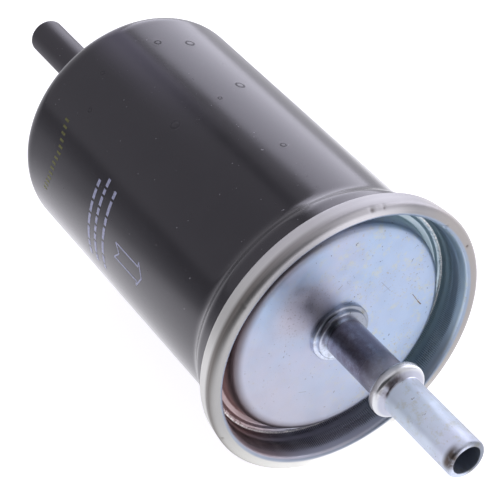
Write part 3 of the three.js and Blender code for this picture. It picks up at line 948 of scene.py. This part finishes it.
def pleat_line(inner, outer, tip_round):
    """One closed wavy line of folded paper, as (y, z) points."""
    line = []
    steps = 24
    for k in range(PLEATS * steps):
        share = k % steps / steps
        ramp = abs(2 * share - 1)
        soft = 0.5 + 0.5 * np.tanh((ramp - 0.5) * 2.2) / np.tanh(1.1)
        reach = inner + (outer - inner) * (ramp * (1 - tip_round) + soft * tip_round)
        angle = TURN * k / (PLEATS * steps)
        line.append((reach * math.cos(angle), reach * math.sin(angle)))
    return np.array(line)


def paper():
    """The pleated sheet, as a thick closed wall."""
    outside = pleat_line(PLEAT_INNER, PLEAT_OUTER, 0.25)
    inside = pleat_line(PLEAT_INNER - PAPER_SHEET, PLEAT_OUTER - 2.4 * PAPER_SHEET, 0.25)
    start, end = low("filter_paper").x, high("filter_paper").x
    places = np.linspace(start, end, 40)
    count = len(outside)
    rows = [np.column_stack([np.full(count, x), outside]) for x in places]
    rows += [np.column_stack([np.full(count, x), inside]) for x in places[::-1]]
    vertices = np.vstack(rows) * MM
    faces = ring_faces(len(rows), count)
    piece("pleated_paper", vertices.tolist(), faces, PAPER, "filter_paper", "filter_paper")


def clip():
    """The folded strip over the paper's seam; inside is half the width between its legs."""
    inside, sheet = 0.85, 0.28
    outer = high("pleat_seam_clip").y
    foot = low("pleat_seam_clip").y
    middle = rounded(
        [
            (foot, inside + sheet / 2),
            (outer - sheet / 2, inside + sheet / 2, 0.3),
            (outer - sheet / 2, -inside - sheet / 2, 0.3),
            (foot, -inside - sheet / 2),
        ]
    )
    section = np.vstack([side(middle, sheet / 2), side(middle, -sheet / 2)[::-1]])
    places = np.linspace(low("pleat_seam_clip").x, high("pleat_seam_clip").x, 30)
    swept("seam_clip", section, places, BARE_STEEL, "bare_steel", "pleat_seam_clip")


def bands():
    """The three bands of wound thread round the pleats."""
    for k in (1, 2, 3):
        node = f"pleat_band_{k}"
        start, end = low(node).x, high(node).x
        outer = high(node).z
        threads = 5
        pitch = (end - start) / threads
        crests = []
        for i in range(threads * 6 + 1):
            x = start + pitch * i / 6
            crests.append((x, outer - 0.14 + 0.14 * abs(math.sin(math.pi * i / 6))))
        outline = np.array([(start, outer - 0.35), *crests, (end, outer - 0.35)])
        turned(f"thread_band_{k}", outline, 128, THREAD, "thread", node)


def core():
    """The tube inside the pleats, with rows of drilled holes."""
    start, end = low("core_tube").x, high("core_tube").x
    outline = ring(CORE_RADIUS - CORE_SHEET, CORE_RADIUS, start, end)
    tube = turned("core", outline, TUBE_SEGMENTS, BARE_STEEL, "bare_steel", "core_tube")
    for row in range(CORE_ROWS):
        x = start + (row + 0.5) * (end - start) / CORE_ROWS
        for k in range(2):
            angle = (k + 0.5 * (row % 2)) * math.pi / 2
            bpy.ops.mesh.primitive_cylinder_add(
                vertices=48,
                radius=CORE_HOLE * MM,
                depth=4 * CORE_RADIUS * MM,
                location=(x * MM, 0, 0),
                rotation=(angle + math.pi / 2, 0, 0),
            )
            drill = bpy.context.object
            cut = tube.modifiers.new("hole", "BOOLEAN")
            cut.object = drill
            cut.solver = "EXACT"
            graph = bpy.context.evaluated_depsgraph_get()
            mesh = bpy.data.meshes.new_from_object(tube.evaluated_get(graph))
            tube.modifiers.clear()
            tube.data = mesh
            bpy.data.objects.remove(drill)


def caps():
    """The pressed caps: the outlet's has a hole, the inlet's is closed."""
    half = CAP_SHEET / 2
    face = high("outlet_end_cap").x
    rim = low("outlet_end_cap").x
    edge = CAP_RADIUS - half
    middle = rounded([(face - half, GROMMET_HOLE), (face - half, edge, 0.6), (rim, edge)])
    outline = np.vstack([side(middle, half), side(middle, -half)[::-1]])
    turned("outlet_cap", outline, 192, TINPLATE, "tinplate", "outlet_end_cap")
    face = low("inlet_end_cap").x
    rim = high("inlet_end_cap").x
    middle = rounded([(face + half, 0.01), (face + half, edge, 0.6), (rim, edge)])
    outline = np.vstack([side(middle, half), side(middle, -half)[::-1]])
    turned("inlet_cap", outline, 192, TINPLATE, "tinplate", "inlet_end_cap")


def adhesives():
    """The cast adhesive in both caps; it creeps up a little at every pleat."""
    inner = GROMMET_HOLE + 2.4
    for end, sign in (("outlet", -1), ("inlet", 1)):
        node = f"{end}_end_adhesive"
        start, stop = low(node).x, high(node).x
        near, far = (stop, start) if sign < 0 else (start, stop)
        outer = high(node).z
        corners = [(near, inner), (near, outer, 0.9), (far, outer, 0.3), (far, inner, 0.3)]
        outline = divided(rounded(corners, 15), 1.2)

        def relief(x, r, t, far=far, sign=sign):
            lifted = 0.12 * (1 + np.sin(PLEATS * t)) * (abs(x - far) < 0.2)
            return x - sign * lifted, r

        turned(f"{end}_potting", outline, 360, ADHESIVE, "adhesive", node, relief=relief)


def grommet():
    """The rubber seal, with a lip on both sides of the outlet cap."""
    lip = GROMMET_HOLE + 1.2
    nose = lip - 1.6
    front = high("outlet_end_cap").x + GAP
    back = high("outlet_end_cap").x - CAP_SHEET - GAP
    waist = GROMMET_HOLE - GAP
    inner = TUBE_RADIUS + GAP
    top, bottom = high("outlet_grommet").x, low("outlet_grommet").x
    corners = [
        (top, inner),
        (top, nose, 0.4),
        (front + 0.9, lip, 0.3),
        (front, lip, 0.1),
        (front, waist, 0.1),
        (back, waist, 0.1),
        (back, lip, 0.1),
        (back - 0.9, lip, 0.3),
        (bottom, nose, 0.4),
        (bottom, inner),
    ]
    outline = rounded(corners)
    turned("grommet", outline, TUBE_SEGMENTS, RUBBER, "grommet_rubber", "outlet_grommet")


def spring_and_seat():
    """The dished washer on the closed cap, and the tapered spring behind it."""
    face = high("spring_seat").x
    disc = face - 0.3
    middle = rounded([(disc, 5), (disc, 13.6, 0.5), (low("spring_seat").x + 0.1, 14)])
    outline = np.vstack([side(middle, 0.3), side(middle, -0.3)[::-1]])
    turned("seat", outline, 128, BARE_STEEL, "bare_steel", "spring_seat")
    start = CAN_END + SHEET + GAP + WIRE_RADIUS
    end = low("inlet_end_cap").x - 0.6 - 2 * GAP - WIRE_RADIUS
    steps, sides = 240, 14
    vertices = []
    for k in range(steps + 1):
        share = k / steps
        angle = TURN * SPRING_TURNS * share
        radius = SPRING_RADIUS - SPRING_TAPER * share
        for j in range(sides):
            turn = TURN * j / sides
            r = radius + WIRE_RADIUS * math.cos(turn)
            x = start + (end - start) * share + WIRE_RADIUS * math.sin(turn)
            vertices.append((x * MM, r * math.cos(angle) * MM, r * math.sin(angle) * MM))
    faces = ring_faces(steps + 1, sides, closed_rows=False)
    faces.append(tuple(range(sides))[::-1])
    faces.append(tuple(range(steps * sides, (steps + 1) * sides)))
    piece("spring", vertices, faces, SPRING_STEEL, "spring_steel", "support_spring")


def centring():
    """The plastic ring round the closed cap, with six ribs that reach the can."""
    inner = CAP_RADIUS + GAP
    band = inner + 0.45
    rib = CAN_RADIUS - SHEET - 0.2
    segments = 360
    t = np.arange(segments) * TURN / segments
    away = abs(np.angle(np.exp(6j * t))) / 6
    outer = rib - (rib - band) * steps_between(away, 0.04, 0.065)
    start, end = low("centring_ring").x, high("centring_ring").x
    soft = 0.12
    rows = [
        (start, inner + 0 * outer),
        (start, outer - soft),
        (start + soft, outer),
        (end - soft, outer),
        (end, outer - soft),
        (end, inner + 0 * outer),
    ]
    vertices = [
        (x * MM, r[k] * math.cos(t[k]) * MM, r[k] * math.sin(t[k]) * MM)
        for x, r in rows
        for k in range(segments)
    ]
    faces = ring_faces(len(rows), segments)
    piece("centring", vertices, faces, NYLON, "nylon", "centring_ring")


# ---------------------------------------------------------------- stage


def floor():
    """A pale luminous table under the filter; it looks evenly white to the camera."""
    bpy.ops.mesh.primitive_circle_add(
        vertices=96, radius=1.2, fill_type="NGON", location=(0, 0, TABLE * MM)
    )
    table = bpy.context.object
    table.name = "table"
    look = Look("table_white")
    far = look.times(look.fade(look.radius, 50, 350), look.fade(look.y, -50, 100, 0.65, 0.0))
    glow = look.times(
        look.fade(look.x, -30, 80, 1.35, 0.85),
        look.math("SUBTRACT", 1.0, far),
        look.fade(look.x, -100, -30, 0.35, 1.0),
    )
    seen = look.add("ShaderNodeLightPath").outputs["Is Camera Ray"]
    look.finish(base_color=(0.45, 0.45, 0.46), roughness=0.9)
    look.feed(look.shader.inputs["Emission Color"], (0.965, 0.955, 1.0))
    look.feed(look.shader.inputs["Emission Strength"], look.blend(seen, glow, 0.93))
    table.data.materials.append(look.material)


def area(name, location, target, width, height, radiance, colour):
    """A soft rectangular light that faces a point; places and sizes are in metres."""
    data = bpy.data.lights.new(name, "AREA")
    data.shape = "RECTANGLE"
    data.size = width
    data.size_y = height
    data.energy = radiance * math.pi * width * height
    data.color = colour
    made = bpy.data.objects.new(name, data)
    made.location = location
    made.rotation_euler = (Vector(target) - Vector(location)).to_track_quat("-Z", "Y").to_euler()
    bpy.context.scene.collection.objects.link(made)


def surroundings():
    """A grey studio behind the filter and a dark one in front; the camera itself sees it pale."""
    world = bpy.data.worlds.new("studio")
    bpy.context.scene.world = world
    world.use_nodes = True
    graph = Graph(world.node_tree)
    towards = graph.add("ShaderNodeTexCoord").outputs["Generated"]
    x, y, z = graph.add("ShaderNodeSeparateXYZ", {"Vector": towards}).outputs
    turn = graph.math("ARCTAN2", y, z)
    dark_edge = graph.math(
        "ADD", graph.band(turn, 0.18, 0.36, 0.06), graph.band(turn, -1.62, -1.40, 0.06)
    )
    camera_side = graph.times(
        graph.fade(x, -0.35, 0.15),
        graph.fade(y, -0.1, 0.5, 1.0, 0.0),
        graph.fade(z, 0.68, 0.86, 1.0, 0.25),
    )
    level = graph.times(
        graph.fade(camera_side, 0, 1, 0.8, 0.05), graph.fade(dark_edge, 0, 1, 1.0, 0.55)
    )
    dim = graph.add("ShaderNodeBackground", {"Color": (0.95, 0.93, 1.0), "Strength": level})
    pale = graph.add("ShaderNodeBackground", {"Color": (1.0, 1.0, 1.0), "Strength": 1.0})
    seen = graph.add("ShaderNodeLightPath").outputs["Is Camera Ray"]
    mixed = graph.add("ShaderNodeMixShader", {0: seen, 1: dim.outputs[0], 2: pale.outputs[0]})
    graph.feed(world.node_tree.nodes["World Output"].inputs["Surface"], mixed.outputs[0])


def lights():
    """One large soft light behind the filter, and the studio round it."""
    area("softbox_back", (-0.45, 0.75, 0.30), (0, 0, 0.05), 1.4, 0.75, 2.1, (0.965, 0.955, 1.10))
    surroundings()


def camera():
    """The camera looks down over the outlet end, with no roll."""
    azimuth = math.radians(57.87)
    elevation = math.radians(39.68)
    right = Vector((math.cos(azimuth), math.sin(azimuth), 0))
    back = Vector(
        (
            math.sin(azimuth) * math.cos(elevation),
            -math.cos(azimuth) * math.cos(elevation),
            math.sin(elevation),
        )
    )
    up = back.cross(right)
    seam_centre = Vector((SEAM * MM, 0, 0))
    data = bpy.data.cameras.new("camera")
    data.sensor_width = 36
    data.lens = 133.1
    data.clip_start = 0.01
    data.clip_end = 10
    made = bpy.data.objects.new("camera", data)
    distance = 0.3403
    target = seam_centre - right * 0.01802 + up * 0.0166
    location = target + back * distance
    turn = Matrix((right, up, back)).transposed().to_4x4()
    made.matrix_world = Matrix.Translation(location) @ turn
    bpy.context.scene.collection.objects.link(made)
    bpy.context.scene.camera = made


PAINT = black_paint("can_paint", 0.17, (0.006, 0.0055, 0.009), (0.010, 0.009, 0.013))
PAINT_TUBE = black_paint("tube_paint", 0.42, (0.014, 0.012, 0.017), (0.020, 0.018, 0.024))
ZINC = cover_zinc()
ZINC_TUBE = tube_zinc()
INK = ink("ink_pale", (0.42, 0.44, 0.62), (0.26, 0.27, 0.40))
INK_DOTS = ink("ink_ochre", (0.14, 0.14, 0.02), (0.08, 0.08, 0.015))
SEALANT = moulded("sealant", (0.15, 0.16, 0.08), (0.10, 0.11, 0.05), 0.7, 3)
BRAZE = metal("braze", (0.62, 0.42, 0.18), (0.48, 0.33, 0.16), 0.35, 2)
PAPER = paper_look()
BARE_STEEL = metal("bare_steel", (0.50, 0.51, 0.52), (0.40, 0.40, 0.41), 0.35)
THREAD = thread_look()
TINPLATE = metal("tinplate", (0.68, 0.68, 0.65), (0.58, 0.58, 0.56), 0.28)
ADHESIVE = moulded("adhesive", (0.36, 0.41, 0.33), (0.29, 0.34, 0.27), 0.55, 5, 0.8, 0.03)
RUBBER = moulded("rubber", (0.018, 0.018, 0.020), (0.030, 0.030, 0.032), 0.65, 3, 0.2)
SPRING_STEEL = metal("spring_steel", (0.36, 0.34, 0.32), (0.26, 0.24, 0.22), 0.3, 3)
NYLON = moulded("nylon", (0.76, 0.73, 0.64), (0.68, 0.65, 0.56), 0.4, 6, 0.5)

camera()
can()
end_cover()
tubes()
arrow()
bars()
dots()
seal()
braze_rings()
paper()
clip()
bands()
core()
caps()
adhesives()
grommet()
spring_and_seat()
centring()
floor()
lights()
bpy.context.scene.view_settings.view_transform = "Standard"
bpy.context.scene.view_settings.look = "None"
